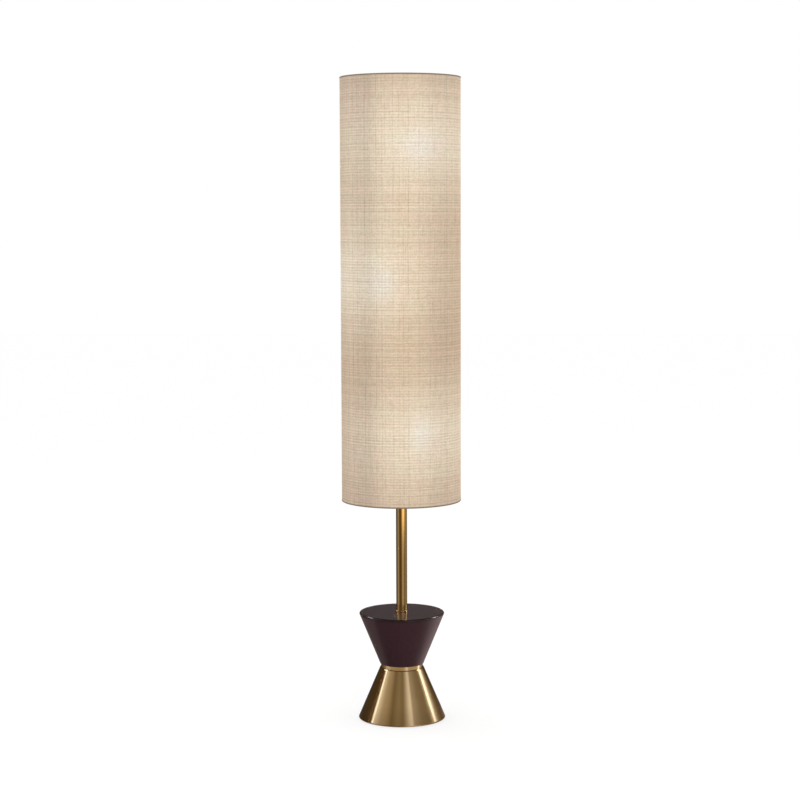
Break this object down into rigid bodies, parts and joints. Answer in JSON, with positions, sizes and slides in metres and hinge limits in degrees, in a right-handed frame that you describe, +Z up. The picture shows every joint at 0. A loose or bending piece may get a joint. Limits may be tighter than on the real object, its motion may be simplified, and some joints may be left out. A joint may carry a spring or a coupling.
{
  "type": "floor lamp",
  "caption": "Floor lamp with a tall cloth cylinder shade on a brass pole over a dark wood cone and a brushed brass cone.",
  "frame": {"origin": "middle of the felt pad's underside, where the lamp stands on the floor", "axes": "+Z up the pole, front towards -Y, first and third bulbs towards +X, cord bush at +Y"},
  "size_m": [0.274, 0.274, 1.47],
  "materials": {
    "felt": "matt wool felt",
    "steel": "zinc plated",
    "iron": "rough casting",
    "brushed_brass": "antique brass, brushed along the cone",
    "pole_brass": "antique brass, satin",
    "polished_brass": "antique brass, polished",
    "dark_wood": "espresso stain under gloss lacquer",
    "black_plastic": "matt",
    "nickel": "nickel plated",
    "lead_rubber": "matt",
    "frosted_glass": "frosted inside",
    "shade_linen": "slubbed linen weave",
    "shade_styrene": "white styrene sheet",
    "trim_tape": "self-coloured folded tape"
  },
  "bodies": {
    "stand": {"felt_pad": "felt", "base_plate": "steel", "base_screws": "steel", "tie_nut": "steel", "tie_washer": "steel", "tie_rod": "steel", "pole_coupler": "steel", "top_stem": "steel", "base_weight": "iron", "base_cone": "brushed_brass", "neck_ring": "brushed_brass", "foot_ring": "pole_brass", "pole_lower": "pole_brass", "hub_low": "pole_brass", "switch_housing": "pole_brass", "pole_middle": "pole_brass", "hub_middle": "pole_brass", "pole_upper": "pole_brass", "hub_top": "pole_brass", "pole_top": "pole_brass", "top_cap": "pole_brass", "arm_low": "pole_brass", "arm_middle": "pole_brass", "arm_top": "pole_brass", "socket_cup_low": "pole_brass", "socket_cup_middle": "pole_brass", "socket_cup_top": "pole_brass", "socket_shell_low": "pole_brass", "socket_shell_middle": "pole_brass", "socket_shell_top": "pole_brass", "socket_contacts": "pole_brass", "wood_cone": "dark_wood", "cord_bush": "black_plastic", "switch_body": "black_plastic", "socket_core_low": "black_plastic", "socket_core_middle": "black_plastic", "socket_core_top": "black_plastic", "screw_shell_low": "nickel", "screw_shell_middle": "nickel", "screw_shell_top": "nickel", "column_lead": "lead_rubber", "arm_leads": "lead_rubber"},
    "shade": {"shade_cloth": "shade_linen", "shade_liner": "shade_styrene", "trim_top": "trim_tape", "trim_bottom": "trim_tape", "ring_top": "pole_brass", "ring_bottom": "pole_brass", "spider_top": "pole_brass", "spider_bottom": "pole_brass"},
    "finial": {"finial": "polished_brass"},
    "knob": {"knob": "polished_brass"},
    "bulb_low": {"bulb_glass_low": "frosted_glass", "bulb_cap_low": "nickel"},
    "bulb_middle": {"bulb_glass_middle": "frosted_glass", "bulb_cap_middle": "nickel"},
    "bulb_top": {"bulb_glass_top": "frosted_glass", "bulb_cap_top": "nickel"}
  },
  "joints": [
    {"name": "shade_turn", "type": "hinge", "parent": "stand", "child": "shade", "pos_m": [0, 0, 1.436], "axis": [0, 0, 1], "continuous": true},
    {"name": "finial_turn", "type": "hinge", "parent": "stand", "child": "finial", "pos_m": [0, 0, 1.445], "axis": [0, 0, 1], "continuous": true},
    {"name": "knob_turn", "type": "hinge", "parent": "stand", "child": "knob", "pos_m": [-0.02, 0, 0.5784], "axis": [-1, 0, 0], "continuous": true},
    {"name": "bulb_low_out", "type": "slide", "parent": "stand", "child": "bulb_low", "axis": [0, 0, 1], "range_m": [0, 0.03]},
    {"name": "bulb_middle_out", "type": "slide", "parent": "stand", "child": "bulb_middle", "axis": [0, 0, 1], "range_m": [0, 0.03]},
    {"name": "bulb_top_out", "type": "slide", "parent": "stand", "child": "bulb_top", "axis": [0, 0, 1], "range_m": [0, 0.03]}
  ]
}
